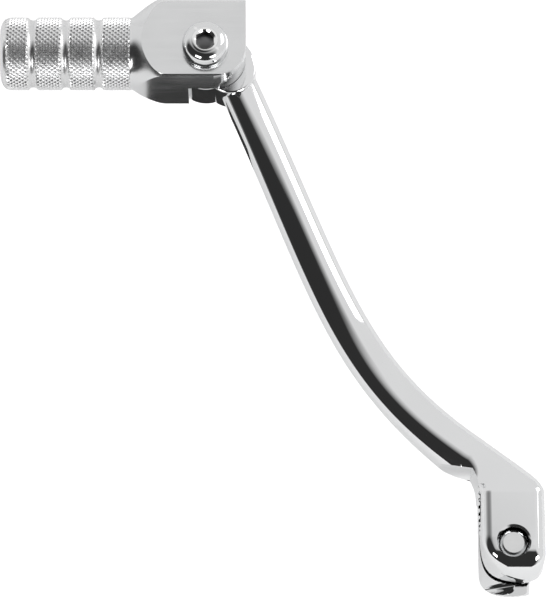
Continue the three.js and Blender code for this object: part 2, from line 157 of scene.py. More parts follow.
def turned(name, outline, centre, axis="Z", steps=96):
    # outline is (radius, place along the axis) from end to end
    if axis == "Z":
        points = [(centre[0] + r, centre[1], centre[2] + a) for r, a in outline]
        direction = (0, 0, 1)
    else:
        points = [(centre[0] + a, centre[1], centre[2] + r) for r, a in outline]
        direction = (1, 0, 0)
    piece = drawOutline(points, name)
    bpy.ops.mesh.select_all(action="SELECT")
    bpy.ops.mesh.spin(steps=steps, angle=fullTurn, center=centre, axis=direction)
    stopEditing()
    tidyMesh(piece)
    return piece


def prism(name, outline, bottom, top):
    # a plan outline, closed and raised
    piece = drawOutline([(x, y, bottom) for x, y in outline], name)
    bpy.ops.mesh.select_all(action="SELECT")
    bpy.ops.mesh.edge_face_add()
    bpy.ops.mesh.extrude_region_move(TRANSFORM_OT_translate={"value": (0, 0, top - bottom)})
    stopEditing()
    tidyMesh(piece)
    return piece


def block(name, low, high):
    outline = [(low[0], low[1]), (high[0], low[1]), (high[0], high[1]), (low[0], high[1])]
    return prism(name, outline, low[2], high[2])


def upright(name, centre, radius, bottom, top, topRadius=None, sides=96):
    topRadius = radius if topRadius is None else topRadius
    clearSelection()
    bpy.ops.mesh.primitive_cone_add(
        vertices=sides, radius1=radius, radius2=topRadius, depth=top - bottom,
        location=(centre[0], centre[1], (bottom + top) / 2))
    piece = named(bpy.context.object, name)
    settlePlace(piece)
    return piece


def arc(centre, radius, start, end, count):
    # points of an arc in plan, angles in degrees
    angles = [math.radians(start + (end - start) * i / count) for i in range(count + 1)]
    return [(centre[0] + radius * math.cos(a), centre[1] + radius * math.sin(a)) for a in angles]


def mix(a, b, share):
    return a + (b - a) * share


def easeInOut(share):
    share = min(max(share, 0), 1)
    return share * share * (3 - 2 * share)


def hand(piece, body, slot, *nodes):
    # the finished piece takes the CAD nodes' place
    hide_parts(*nodes)
    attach(piece, body)


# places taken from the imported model

screwLow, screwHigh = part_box("pivot_screw")
sleeveLow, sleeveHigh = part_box("pivot_sleeve")
washerLow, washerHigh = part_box("thrust_washer")
tipLow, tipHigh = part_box("folding_tip")
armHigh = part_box("lever_arm")[1]
boltLow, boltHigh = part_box("pinch_bolt")
lockLow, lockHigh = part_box("pinch_lock_washer")
springLow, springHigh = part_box("return_spring")
pivot = (screwLow + screwHigh) / 2
pivotX, pivotY = pivot.x, pivot.y
boltY = (boltLow.y + boltHigh.y) / 2
earTop = sleeveHigh.z
eyeTop = -tipLow.z
hubHalf = armHigh.x


# metal finishes, each made from the same two groups of nodes


def newGroup(name, inputs, outputs):
    group = bpy.data.node_groups.new(name, "ShaderNodeTree")
    for label, kind, value in inputs:
        socket = group.interface.new_socket(label, in_out="INPUT", socket_type=kind)
        socket.default_value = value
    for label, kind in outputs:
        group.interface.new_socket(label, in_out="OUTPUT", socket_type=kind)
    entry = group.nodes.new("NodeGroupInput")
    leave = group.nodes.new("NodeGroupOutput")
    return group, entry, leave


def addNode(tree, kind, **values):
    node = tree.nodes.new(kind)
    for key, value in values.items():
        if key in node.inputs:
            node.inputs[key].default_value = value
        else:
            setattr(node, key, value)
    return node


def mapRange(tree, source, low, high, toLow, toHigh):
    node = tree.nodes.new("ShaderNodeMapRange")
    tree.links.new(source, node.inputs["Value"])
    for label, value in (("From Min", low), ("From Max", high), ("To Min", toLow), ("To Max", toHigh)):
        if isinstance(value, bpy.types.NodeSocket):
            tree.links.new(value, node.inputs[label])
        else:
            node.inputs[label].default_value = value
    return node.outputs["Result"]


def makePolishMarks():
    # fine buffing lines and cloudy handling marks: a roughness and a bump height
    group, entry, leave = newGroup(
        "polishMarks",
        [("Scale", "NodeSocketFloat", 400), ("Low", "NodeSocketFloat", 0.04),
         ("High", "NodeSocketFloat", 0.1), ("Stretch", "NodeSocketVector", (1, 1, 1))],
        [("Roughness", "NodeSocketFloat"), ("Height", "NodeSocketFloat")])
    place = addNode(group, "ShaderNodeTexCoord")
    stretched = addNode(group, "ShaderNodeVectorMath", operation="MULTIPLY")
    cloud = addNode(group, "ShaderNodeTexNoise", Scale=90, Detail=4)
    lines = addNode(group, "ShaderNodeTexNoise", Detail=3)
    both = addNode(group, "ShaderNodeMath", operation="MULTIPLY")
    link = group.links.new
    link(place.outputs["Object"], stretched.inputs[0])
    link(entry.outputs["Stretch"], stretched.inputs[1])
    link(place.outputs["Object"], cloud.inputs["Vector"])
    link(stretched.outputs["Vector"], lines.inputs["Vector"])
    link(entry.outputs["Scale"], lines.inputs["Scale"])
    link(cloud.outputs["Fac"], both.inputs[0])
    link(lines.outputs["Fac"], both.inputs[1])
    rough = mapRange(group, both.outputs["Value"], 0.12, 0.4,
                     entry.outputs["Low"], entry.outputs["High"])
    link(rough, leave.inputs["Roughness"])
    link(lines.outputs["Fac"], leave.inputs["Height"])
    return group


def makeEdgeTone():
    # a base colour that is paler on worn edges and darker in hollows, where the darkening is painted shade;
    # one amount sets both
    group, entry, leave = newGroup(
        "edgeTone",
        [("Metal", "NodeSocketColor", (0.8, 0.8, 0.8, 1)),
         ("Hollow", "NodeSocketColor", (0.5, 0.5, 0.5, 1)),
         ("Edge", "NodeSocketColor", (0.95, 0.95, 0.95, 1)),
         ("Wear And Shade", "NodeSocketFloat", 1),
         ("Cloud Scale", "NodeSocketFloat", 60)],
        [("Color", "NodeSocketColor"), ("Hollow Mask", "NodeSocketFloat")])
    shape = addNode(group, "ShaderNodeNewGeometry")
    # painted shade: the colour darkens towards the hollow colour where the surface is hollow
    hollow = mapRange(group, shape.outputs["Pointiness"], 0.44, 0.5, entry.outputs["Wear And Shade"], 0)
    edge = mapRange(group, shape.outputs["Pointiness"], 0.52, 0.6, 0, entry.outputs["Wear And Shade"])
    place = addNode(group, "ShaderNodeTexCoord")
    cloud = addNode(group, "ShaderNodeTexNoise", Detail=3)
    link = group.links.new
    link(place.outputs["Object"], cloud.inputs["Vector"])
    link(entry.outputs["Cloud Scale"], cloud.inputs["Scale"])
    toned = addNode(group, "ShaderNodeMix", data_type="RGBA", blend_type="MULTIPLY")
    toned.inputs[0].default_value = 0.08
    link(entry.outputs["Metal"], toned.inputs[6])
    link(cloud.outputs["Fac"], toned.inputs[7])
    first = addNode(group, "ShaderNodeMix", data_type="RGBA")
    second = addNode(group, "ShaderNodeMix", data_type="RGBA")
    link(hollow, first.inputs[0])
    link(toned.outputs[2], first.inputs[6])
    link(entry.outputs["Hollow"], first.inputs[7])
    link(edge, second.inputs[0])
    link(first.outputs[2], second.inputs[6])
    link(entry.outputs["Edge"], second.inputs[7])
    link(second.outputs[2], leave.inputs["Color"])
    link(hollow, leave.inputs["Hollow Mask"])
    return group


polishMarks = makePolishMarks()
edgeTone = makeEdgeTone()


def metal(name, look):
    material = bpy.data.materials.new(name)
    material.use_nodes = True
    tree = material.node_tree
    shader = tree.nodes["Principled BSDF"]
    shader.inputs["Metallic"].default_value = 1
    tone = addNode(tree, "ShaderNodeGroup", node_tree=edgeTone)
    tone.inputs["Metal"].default_value = (*look["metal"], 1)
    tone.inputs["Hollow"].default_value = (*look["hollow"], 1)
    tone.inputs["Edge"].default_value = (*look["edge"], 1)
    tone.inputs["Wear And Shade"].default_value = look["wearAndShade"]
    marks = addNode(tree, "ShaderNodeGroup", node_tree=polishMarks)
    marks.inputs["Scale"].default_value = look["markScale"]
    marks.inputs["Low"].default_value = look["roughness"][0]
    marks.inputs["High"].default_value = look["roughness"][1]
    marks.inputs["Stretch"].default_value = look["stretch"]
    bump = addNode(tree, "ShaderNodeBump", Strength=look["bump"], Distance=0.02 * mm)
    tree.links.new(tone.outputs["Color"], shader.inputs["Base Color"])
    tree.links.new(marks.outputs["Roughness"], shader.inputs["Roughness"])
    tree.links.new(marks.outputs["Height"], bump.inputs["Height"])
    tree.links.new(bump.outputs["Normal"], shader.inputs["Normal"])
    return material


# each finish's hollow colour is painted shade in its hollows, laid on together with the paler worn edges by
# the wear amount
finishes = {
    "mirrorChrome": dict(metal=(0.9, 0.905, 0.91), hollow=(0.8, 0.805, 0.81), edge=(0.96, 0.96, 0.96),
                         roughness=(0.03, 0.07), markScale=500, stretch=(1, 1, 1), bump=0.05, wearAndShade=0),
    "satinMilled": dict(metal=(0.86, 0.865, 0.87), hollow=(0.6, 0.605, 0.61), edge=(0.97, 0.97, 0.97),
                        roughness=(0.17, 0.25), markScale=700, stretch=(0.12, 1.6, 1), bump=0.1, wearAndShade=0),
    "knurledSteel": dict(metal=(0.9, 0.9, 0.905), hollow=(0.5, 0.505, 0.51), edge=(0.98, 0.98, 0.98),
                         roughness=(0.24, 0.34), markScale=900, stretch=(1, 1, 1), bump=0.15, wearAndShade=1),
    "platedFastener": dict(metal=(0.86, 0.865, 0.87), hollow=(0.45, 0.455, 0.46), edge=(0.96, 0.96, 0.96),
                           roughness=(0.08, 0.16), markScale=900, stretch=(1, 1, 1), bump=0.08, wearAndShade=1),
    # painted shade: a dark finish for the inside of the hex socket, where shade falls
    "paintedSocketShade": dict(metal=(0.22, 0.22, 0.225), hollow=(0.1, 0.1, 0.1), edge=(0.6, 0.6, 0.6),
                        roughness=(0.25, 0.5), markScale=1500, stretch=(1, 1, 1), bump=0.4, wearAndShade=1),
    "springSteel": dict(metal=(0.5, 0.505, 0.515), hollow=(0.25, 0.25, 0.26), edge=(0.7, 0.7, 0.7),
                        roughness=(0.22, 0.35), markScale=1200, stretch=(1, 1, 1), bump=0.15, wearAndShade=1),
}
materials = {name: metal(name, look) for name, look in finishes.items()}


def paint(piece, *names):
    piece.data.materials.clear()
    for name in names:
        piece.data.materials.append(materials[name])


def paintWhere(piece, slotIndex, test):
    for face in piece.data.polygons:
        if test(face):
            face.material_index = slotIndex


print("materials ready")


# the forged arm: eye, bar and clamp hub; sizes in millimetres

armSizes = {
    "barStart": (6.2, -2.0),        # from the pivot
    "barEnd": (-0.5, 4.2),
    "leavesEyeDeg": 66.2,
    "meetsHubDeg": 33.4,
    "eyeHandle": 0.52,
    "hubHandle": 0.38,
    "widthAtEye": 9.0,
    "widthAtHub": 10.9,
    "thickAtEye": 8.2,
    "thickAtHub": 14.0,
    "lean": 9,                      # degrees the bar's sections lean to the left half way along
    "leanEnds": 0.85,               # where along the bar they stand straight again
    "swellPower": 6,                # the bar thickens late, towards the hub
    "eyeSquareness": 2.25,
    "hubSquareness": 2.9,
    "dipDrift": 0.321,              # how far a lower bar also moves back, as a share of the dip
    "barEndsAt": 0.915,             # where along the centre line the turn into the hub begins
    "dip": 3.0,                     # the bar hangs this much lower half way along
    "hubTop": 9.1,
    "slit": 1.5,
    "lowerRelief": 3.1,             # the lower jaw is this much narrower on its outer side
    "holeRadius": 3.3,
    "holeMouth": 3.9,
    "washerSeat": 5.6,
    "springPocket": 5.8,
    "tapMouth": 4.2,
    "eyeEdge": 0.9,
    "upperJaw": {"front": -17.9, "noseX": 2.5, "leftFrom": -9.0, "rightFrom": -12.6, "topFrom": -12.4},
    "lowerJaw": {"front": -20.5, "noseX": 0.0, "leftFrom": -14.5, "rightFrom": -15.0, "topFrom": -15.0},
    "hubStart": 0.9,                # where the straight hub begins
    "turnRings": 40,
    "jawRings": 70,
    "edgeRadius": 2.4,
    "jawLeast": 0.06,               # a jaw's last section, as a share of the full one
    "ringPoints": 72,
    "barRings": 110,
}


def barCentre(along):
    # cubic curve in plan from inside the eye to inside the hub
    s = armSizes
    leave, arrive = math.radians(s["leavesEyeDeg"]), math.radians(s["meetsHubDeg"])
    a = Vector((pivotX / mm + s["barStart"][0], pivotY / mm + s["barStart"][1]))
    d = Vector(s["barEnd"])
    span = (d - a).length
    b = a + Vector((math.cos(leave), -math.sin(leave))) * span * s["eyeHandle"]
    c = d - Vector((math.cos(arrive), -math.sin(arrive))) * span * s["hubHandle"]
    rest = 1 - along
    place = a * rest ** 3 + b * 3 * rest * rest * along + c * 3 * rest * along ** 2 + d * along ** 3
    heading = (b - a) * rest * rest + (c - b) * 2 * rest * along + (d - c) * along * along
    return place, heading.normalized()


def sectionRing(left, right, top, bottom, squareness, lift=0,
                lowerLeft=None, lowerRight=None, lean=0, box=0):
    # one section between two plan points, with its own height above and below the middle;
    # box turns it from a rounded oval (0) into a flat-topped block with rounded edges (1)
    ring = []
    count = armSizes["ringPoints"]
    power = 2 / squareness
    for i in range(count):
        angle = fullTurn * (i + 0.5) / count
        c, s = math.cos(angle), math.sin(angle)
        a, b = (left, right) if s >= 0 or lowerLeft is None else (lowerLeft, lowerRight)
        wide, tall = (b - a).length / 2, top if s > 0 else bottom
        edge = min(armSizes["edgeRadius"], wide, tall)
        ovalAcross, ovalUp = math.copysign(abs(c) ** power, c), math.copysign(abs(s) ** power, s)
        boxAcross = (math.copysign(wide - edge, c) + edge * c) / wide
        boxUp = (math.copysign(tall - edge, s) + edge * s) / tall
        across, up = mix(ovalAcross, boxAcross, box), mix(ovalUp, boxUp, box)
        place = (a + b) / 2 + (b - a) / 2 * across
        place -= (b - a).normalized() * up * tall * math.sin(lean)
        height = lift + up * tall + across * wide * math.sin(lean)
        ring.append(Vector((place.x, place.y, height)) * mm)
    return ring


def bend(start, corner, end, share):
    # a curve in plan that leaves towards the corner and arrives from it
    return start.lerp(corner, share).lerp(corner.lerp(end, share), share)


def jawReach(y, start, front):
    # full width up to the start, then an elliptical end that closes at the front
    share = min(max((start - y) / (start - front), 0), 1)
    return max(math.sqrt(1 - share * share), armSizes["jawLeast"])


def armRings():
    s = armSizes
    rings = []
    endAlong = s["barEndsAt"]
    for i in range(s["barRings"] + 1):
        along = endAlong * i / s["barRings"]
        place, heading = barCentre(along)
        side = Vector((heading.y, -heading.x))
        half = mix(s["widthAtEye"], s["widthAtHub"], along * along) / 2
        thick = mix(s["thickAtEye"], s["thickAtHub"], along ** s["swellPower"]) / 2
        square = mix(s["eyeSquareness"], s["hubSquareness"], along ** 4)
        dip = -s["dip"] * easeInOut(along / 0.5) * (1 - easeInOut((along - 0.5) / 0.4))
        place = place + Vector((0, -dip * s["dipDrift"]))
        lean = math.radians(s["lean"]) * easeInOut(along * 4) * easeInOut((s["leanEnds"] - along) * 3)
        rings.append(sectionRing(
            place + side * half, place - side * half, thick, thick, square, dip, lean=lean))
    # the sections swing from the bar's end to straight across the hub
    lastPlace, lastHeading = barCentre(endAlong)
    side = Vector((lastHeading.y, -lastHeading.x))
    lastInner = lastPlace + side * half
    lastOuter = lastPlace - side * half
    hub = hubHalf / mm
    firstInner, firstOuter = Vector((-hub, s["hubStart"])), Vector((hub, s["hubStart"]))
    heading = Vector((lastHeading.x, lastHeading.y))
    innerCorner = lastInner + heading * ((-hub - lastInner.x) / heading.x)
    outerCorner = lastOuter + heading * ((hub - lastOuter.x) / heading.x)
    lastThick, lastSquare = thick, square
    for i in range(1, s["turnRings"]):
        share = i / s["turnRings"]
        inner = bend(lastInner, innerCorner, firstInner, share)
        outer = bend(lastOuter, outerCorner, firstOuter, share)
        thick = mix(lastThick, s["hubTop"], easeInOut(share))
        rings.append(sectionRing(inner, outer, thick, thick, lastSquare, box=easeInOut(share * 1.3)))
    steps = s["jawRings"]
    upper, lower = s["upperJaw"], s["lowerJaw"]
    for i in range(steps):
        share = i / (steps - 1)
        y = mix(s["hubStart"], lower["front"], math.sin(share * math.pi / 2))
        upperLeft = mix(upper["noseX"], -hub, jawReach(y, upper["leftFrom"], upper["front"]))
        upperRight = mix(upper["noseX"], hub, jawReach(y, upper["rightFrom"], upper["front"]))
        lowerLeft = mix(lower["noseX"], -hub, jawReach(y, lower["leftFrom"], lower["front"]))
        lowerRight = mix(lower["noseX"], hub, jawReach(y, lower["rightFrom"], lower["front"]))
        top = s["hubTop"] * jawReach(y, upper["topFrom"], upper["front"])
        bottom = s["hubTop"] * jawReach(y, lower["topFrom"], lower["front"])
        rings.append(sectionRing(
            Vector((upperLeft, y)), Vector((upperRight, y)), top, bottom, lastSquare, 0,
            Vector((lowerLeft, y)), Vector((lowerRight, y)), box=1))
    return rings


def skin(name, rings):
    # a grid laid over the rings, sewn along its seam and closed at both ends
    clearSelection()
    around = len(rings[0])
    bpy.ops.mesh.primitive_grid_add(x_subdivisions=around, y_subdivisions=len(rings) - 1, size=2)
    piece = named(bpy.context.object, name)
    order = sorted(range(len(piece.data.vertices)),
                   key=lambda i: (round(piece.data.vertices[i].co.y, 5), piece.data.vertices[i].co.x))
    for place, index in enumerate(order):
        row, column = divmod(place, around + 1)
        piece.data.vertices[index].co = rings[row][column % around]
    startEditing(piece, selectAll=True)
    bpy.ops.mesh.remove_doubles(threshold=0.0005 * mm)
    bpy.ops.mesh.select_all(action="DESELECT")
    bpy.ops.mesh.select_non_manifold()
    bpy.ops.mesh.fill_holes(sides=0)
    bpy.ops.mesh.select_all(action="SELECT")
    bpy.ops.mesh.normals_make_consistent(inside=False)
    stopEditing()
    return piece


def eyeOutline():
    # the flat cheek about the pivot: round behind, the bar's root on the right, a square stop at the back
    disc = arc((0, 0), 7.0, 70.5, 285, 60)
    nose = arc((5.65, -2.1), 5.8, 232, 375, 44)
    stop = [(10.4, 2.2), (9.2, 4.0), (8.6, 5.2), (8.4, 6.6)]
    return [((x * mm + pivotX), (y * mm + pivotY)) for x, y in disc + nose + stop]


def buildArm():
    arm = skin("leverArm", armRings())
    eye = prism("eye", eyeOutline(), -eyeTop, eyeTop)
    breakEdges(eye, armSizes["eyeEdge"] * mm, 6, 60)
    combine(arm, eye, "UNION")
    big = 30 * mm
    front = (armSizes["lowerJaw"]["front"] - 3) * mm
    half = armSizes["slit"] / 2 * mm
    slit = block("slit", (-big, front, -half), (big, -3 * mm, half))
    combine(arm, slit)
    reliefX = hubHalf - armSizes["lowerRelief"] * mm
    relief = block("relief", (reliefX, front, -big), (big, boltY + 5 * mm, -half + 0.05 * mm))
    combine(arm, relief)
    top = armSizes["hubTop"] * mm
    hole, mouth = armSizes["holeRadius"] * mm, armSizes["holeMouth"] * mm
    seat, seatZ = armSizes["washerSeat"] * mm, lockHigh.z + 0.1 * mm
    combine(arm, turned("boltHole", [
        (0, -big), (seat, -big), (seat, seatZ), (hole, seatZ), (hole, top - 0.5 * mm),
        (mouth, top + 0.15 * mm), (mouth, big), (0, big)], (0, boltY, 0)))
    combine(arm, splineCutter())
    tap, pocket = armSizes["tapMouth"] * mm, armSizes["springPocket"] * mm
    floorZ = springLow.z + 1.3 * mm
    combine(arm, turned("pivotHole", [
        (0, -big), (tap, -big), (tap, -eyeTop - 0.01 * mm), (hole, -eyeTop + 0.6 * mm),
        (hole, floorZ), (pocket, floorZ), (pocket, big), (0, big)], (pivotX, pivotY, 0)))
    smoothBy(arm, 34)
    paint(arm, "mirrorChrome", "platedFastener")
    hand(arm, "lever", "forged_chrome", "lever_arm")
    return arm


splineSizes = {"count": 24, "minor": 5.9, "major": 6.4, "countersink": 9.0}


def splineCutter():
    s = splineSizes
    count, minor, major = s["count"], s["minor"] * mm, s["major"] * mm
    step = fullTurn / count
    outline = []
    for tooth in range(count):
        for radius, share in ((minor, 0.0), (minor, 0.33), (major, 0.5), (major, 0.83)):
            angle = (tooth + share) * step
            outline.append((radius * math.cos(angle), radius * math.sin(angle)))
    cutter = prism("spline", outline, -20 * mm, 20 * mm)
    # it is drawn in plan and then laid along the shaft
    cutter.rotation_euler = (0, math.pi / 2, 0)
    settlePlace(cutter)
    # a countersink at each end, as one turned spindle thinner than the bore in the middle
    wide, far, waist = s["countersink"] * mm, 20 * mm, minor - 0.2 * mm
    rim = turned("rim", [
        (0, -far), (wide, -far), (wide, -8.6 * mm), (waist, -6.3 * mm),
        (waist, 6.3 * mm), (wide, 8.6 * mm), (wide, far), (0, far)], (0, 0, 0), "X", 96)
    combine(cutter, rim, "UNION")
    return cutter


arm = buildArm()
print("arm ready", len(arm.data.polygons))


# the folding tip: knurled grip and flared body with its ear; sizes in millimetres

tipSizes = {
    "bodyRadius": 12.3,
    "bodyAhead": 11.3,
    "bodyAbove": 12.2,
    "bodySquareness": 2.4,
    "bodyPoints": 128,
    "bodyRings": 10,
    "flareStart": 8.2,
    "flareLength": 7.8,
    "flareRings": 36,
    "gripRadius": 8.35,
    "gripLength": 29.8,
    "bands": 4,
    "bandPitch": 7.5,
    "grooveWidth": 1.7,
    "grooveDepth": 0.55,
    "endRound": 2.4,
    "diamondLong": 1.3,
    "diamondsAround": 46,
    "diamondHeight": 0.3,
    "diamondWall": 0.27,
    "frontFlat": 7.0,
    "foldOpening": 4.0,             # room in front of the eye, past the pivot
    "stopBehind": 6.9,              # the pocket's back wall, against which the arm's stop rests
    "lapGap": 0.3,
    "bandShift": 0.21,              # each knurled band starts this much further along its pattern
    "endFade": 0.3,                 # the diamonds flatten out over this length at a band's ends
    "wallDepth": 1.6,
    "boreRadius": 4.25,
    "springRoomRadius": 5.8,
    "springLeg": 1.3,
    "cornerRadius": 7.2,
    "pocketRadius": 7.7,
    "edgeBreak": 0.28,
}

pegY = tipHigh.y - tipSizes["bodyRadius"] * mm
pegZ = (earTop - eyeTop) / 2
gripStart = tipLow.x
gripEnd = gripStart + tipSizes["gripLength"] * mm
frontFlatY = pivotY - tipSizes["frontFlat"] * mm
lapZ = eyeTop + tipSizes["lapGap"] * mm


def gripEnvelope(x):
    # the turned end's radius, which shaves the knurl's points
    s = tipSizes
    radius, rounding = s["gripRadius"], s["endRound"]
    fromEnd = (x - gripStart) / mm
    if fromEnd >= rounding:
        return radius
    return radius - rounding + math.sqrt(max(rounding ** 2 - (rounding - fromEnd) ** 2, 0))


def knurledBand(number, start, end, roundedOuterEnd):
    s = tipSizes
    radius = s["gripRadius"]
    girth = fullTurn * radius
    tall = girth / s["diamondsAround"]
    length = (end - start) / mm
    cells = int(length / s["diamondLong"] + s["diamondsAround"]) + 6
    cells += cells % 2
    clearSelection()
    bpy.ops.mesh.primitive_grid_add(x_subdivisions=cells, y_subdivisions=cells, size=cells,
                                    location=(0, 0, 0))
    band = named(bpy.context.object, f"gripBand{number}")
    startEditing(band, "FACE", selectAll=True)
    bpy.ops.transform.rotate(value=math.pi / 4, orient_axis="Z", center_override=(0, 0, 0))
    half = 1 / math.sqrt(2)
    bpy.ops.transform.resize(value=(s["diamondLong"] * half, tall * half, 1), center_override=(0, 0, 0))
    bpy.ops.transform.translate(value=(length / 2 + s["bandShift"] * number, girth / 2, 0))
    for place, normal in (((0, 0, 0), (-1, 0, 0)), ((length, 0, 0), (1, 0, 0)),
                          ((0, -1, 0), (0, -1, 0)), ((0, girth + 1, 0), (0, 1, 0))):
        bpy.ops.mesh.select_all(action="SELECT")
        if normal[0]:
            place = (place[0] + normal[0] * 2, 0, 0)
        bpy.ops.mesh.bisect(plane_co=place, plane_no=normal, clear_outer=True)
    bpy.ops.mesh.select_all(action="SELECT")
    bpy.ops.mesh.inset(thickness=s["diamondWall"], depth=s["diamondHeight"], use_individual=True,
                       use_boundary=True, use_even_offset=True)
    for place, normal in (((0, 0, 0), (-1, 0, 0)), ((length, 0, 0), (1, 0, 0)),
                          ((0, 0, 0), (0, -1, 0)), ((0, girth, 0), (0, 1, 0))):
        bpy.ops.mesh.select_all(action="SELECT")
        bpy.ops.mesh.bisect(plane_co=place, plane_no=normal, clear_outer=True)
    for x in (s["endFade"], length - s["endFade"]):
        bpy.ops.mesh.select_all(action="SELECT")
        bpy.ops.mesh.bisect(plane_co=(x, 0, 0), plane_no=(1, 0, 0))
    if roundedOuterEnd:
        for x in (0.8, 1.4, 2.0):
            bpy.ops.mesh.select_all(action="SELECT")
            bpy.ops.mesh.bisect(plane_co=(x, 0, 0), plane_no=(1, 0, 0))
    stopEditing()
    # end walls, which run down into the core
    for x in (0, length):
        startEditing(band, "EDGE")
        stopEditing()
        for edge in band.data.edges:
            a, b = (band.data.vertices[v].co for v in edge.vertices)
            edge.select = abs(a.x - x) < 1e-4 and abs(b.x - x) < 1e-4
        bpy.ops.object.mode_set(mode="EDIT")
        bpy.ops.mesh.extrude_region_move(TRANSFORM_OT_translate={"value": (0, 0, 0)})
        bpy.ops.transform.resize(value=(1, 1, 0), center_override=(0, 0, 0))
        bpy.ops.transform.translate(value=(0, 0, -s["wallDepth"]))
        stopEditing()
    valley = radius - s["diamondHeight"]
    for vertex in band.data.vertices:
        x, y, lift = vertex.co
        place = start + x * mm
        edge = min(x, length - x)
        cap = gripEnvelope(place)
        if edge < s["endFade"] - 0.01:
            rise = mix(0.1, 1, max(edge, 0) / s["endFade"])
            cap = min(cap, valley + (radius - valley) * rise)
        reach = min(valley + lift, cap) if lift >= 0 else min(valley, cap) + lift
        angle = math.pi + y / radius
        vertex.co = Vector((place, pegY + reach * mm * math.sin(angle), pegZ + reach * mm * math.cos(angle)))
    startEditing(band, selectAll=True)
    bpy.ops.mesh.remove_doubles(threshold=0.01 * mm)
    bpy.ops.mesh.normals_make_consistent(inside=False)
    stopEditing()
    return band


def gripCore():
    # the smooth core whose shallow channels show between the knurled bands
    s = tipSizes
    radius = s["gripRadius"]
    valley = radius - s["diamondHeight"] - 0.02
    # the core stands a little proud of the bands at the outer end, so that it covers their walls
    endPlace = gripStart / mm - 0.05
    outline = [(0, endPlace)]
    rounding = s["endRound"] - s["diamondHeight"]
    for i in range(11):
        angle = math.pi / 2 * i / 10
        reach = valley - rounding * (1 - math.sin(angle))
        outline.append((reach, endPlace + rounding * (1 - math.cos(angle))))
    for groove in range(s["bands"] - 1, 0, -1):
        middle = gripEnd / mm - groove * s["bandPitch"]
        for i in range(9):
            share = i / 8 * 2 - 1
            sink = s["grooveDepth"] * (1 - share * share) ** 0.5
            outline.append((min(valley, radius - 0.12 - sink) if abs(share) < 1 else valley,
                            middle + share * s["grooveWidth"] / 2))
    outline += [(valley, gripEnd / mm + 0.2), (0, gripEnd / mm + 0.2)]
    points = [(r * mm, a * mm) for r, a in outline]
    return turned("gripCore", points, (0, pegY, pegZ), "X", 96)


def buildGrip():
    s = tipSizes
    core = gripCore()
    edges = [gripStart]
    for groove in range(s["bands"] - 1, 0, -1):
        middle = gripEnd - groove * s["bandPitch"] * mm
        edges += [middle - s["grooveWidth"] / 2 * mm, middle + s["grooveWidth"] / 2 * mm]
    edges.append(gripEnd)
    bands = [knurledBand(i + 1, edges[2 * i], edges[2 * i + 1], i == 0) for i in range(s["bands"])]
    pick(core)
    for band in bands:
        band.select_set(True)
    bpy.ops.object.join()
    grip = named(bpy.context.object, "knurledGrip")
    smoothBy(grip, 24)
    paint(grip, "knurledSteel", "mirrorChrome")
    return grip


def bodyRings():
    # the flare widens quickly in plan and more gently in height, then the body runs straight
    s = tipSizes
    length = (tipHigh.x - gripEnd) / mm
    places = [s["flareLength"] * i / s["flareRings"] for i in range(-1, s["flareRings"] + 1)]
    places += [mix(s["flareLength"], length, i / s["bodyRings"]) for i in range(1, s["bodyRings"] + 1)]
    return [bodyRing(along) for along in places]


def bodyRing(along):
    s = tipSizes
    share = min(max(along / s["flareLength"], 0), 1)
    widen = math.sin(share * math.pi / 2)
    start = s["flareStart"]
    behind = mix(start, s["bodyRadius"], widen)
    ahead = mix(start, s["bodyAhead"], widen)
    above = mix(start, s["bodyAbove"], easeInOut(share))
    power = 2 / mix(2.0, s["bodySquareness"], easeInOut(share))
    ring = []
    for i in range(s["bodyPoints"]):
        angle = fullTurn * i / s["bodyPoints"]
        c, up = math.cos(angle), math.sin(angle)
        across = math.copysign(abs(c) ** power, c) * (behind if c > 0 else ahead)
        height = math.copysign(abs(up) ** power, up) * above
        ring.append(Vector((gripEnd + along * mm, pegY + across * mm, pegZ + height * mm)))
    return ring


def buildBody():
    s = tipSizes
    body = skin("tipBody", bodyRings())
    far = 20 * mm
    left, right = gripStart - far, tipHigh.x + far
    combine(body, block("above", (left, pegY - far, earTop), (right, pegY + far, earTop + far)))
    combine(body, block("below", (left, pegY - far, -eyeTop - far), (right, pegY + far, -eyeTop)))
    combine(body, block("front", (left, frontFlatY - far, -far), (right, frontFlatY, far * 2)))
    radius = s["cornerRadius"] * mm
    cornerX, cornerY = tipHigh.x - radius, frontFlatY + radius
    corner = block("corner", (cornerX, frontFlatY - far, -far), (right, cornerY, far * 2))
    kept = upright("kept", (cornerX, cornerY), radius, -far * 1.5, far * 2.5, sides=128)
    combine(corner, kept)
    combine(body, corner)
    bottom = -eyeTop - 2 * mm
    pocket = upright("pocket", (pivotX, pivotY), s["pocketRadius"] * mm, bottom, lapZ, sides=96)
    mouth = block("mouth", (pivotX, frontFlatY - far, bottom), (right, pivotY + s["stopBehind"] * mm, lapZ))
    combine(pocket, mouth, "UNION")
    clearance = block("clearance", (pivotX - s["foldOpening"] * mm, frontFlatY - far, bottom),
                      (pivotX + 2 * mm, pivotY, lapZ))
    combine(pocket, clearance, "UNION")
    combine(body, pocket)
    combine(body, upright("bore", (pivotX, pivotY), s["boreRadius"] * mm, lapZ - 1 * mm, earTop + 2 * mm))
    roof = springHigh.z - s["springLeg"] * mm
    combine(body, upright("springRoom", (pivotX, pivotY), s["springRoomRadius"] * mm, lapZ - 1 * mm, roof))
    breakEdges(body, s["edgeBreak"] * mm, 3, 34)
    smoothBy(body, 30, flatFaces=True)
    paint(body, "satinMilled")
    return body


grip = buildGrip()
print("grip ready", len(grip.data.polygons))
tipBody = buildBody()
print("tip body ready", len(tipBody.data.polygons))
hand(tipBody, "tip", "satin_steel", "folding_tip")
hand(grip, "tip", "satin_steel", "folding_tip")


# what holds the tip on: screw, washer, sleeve and spring

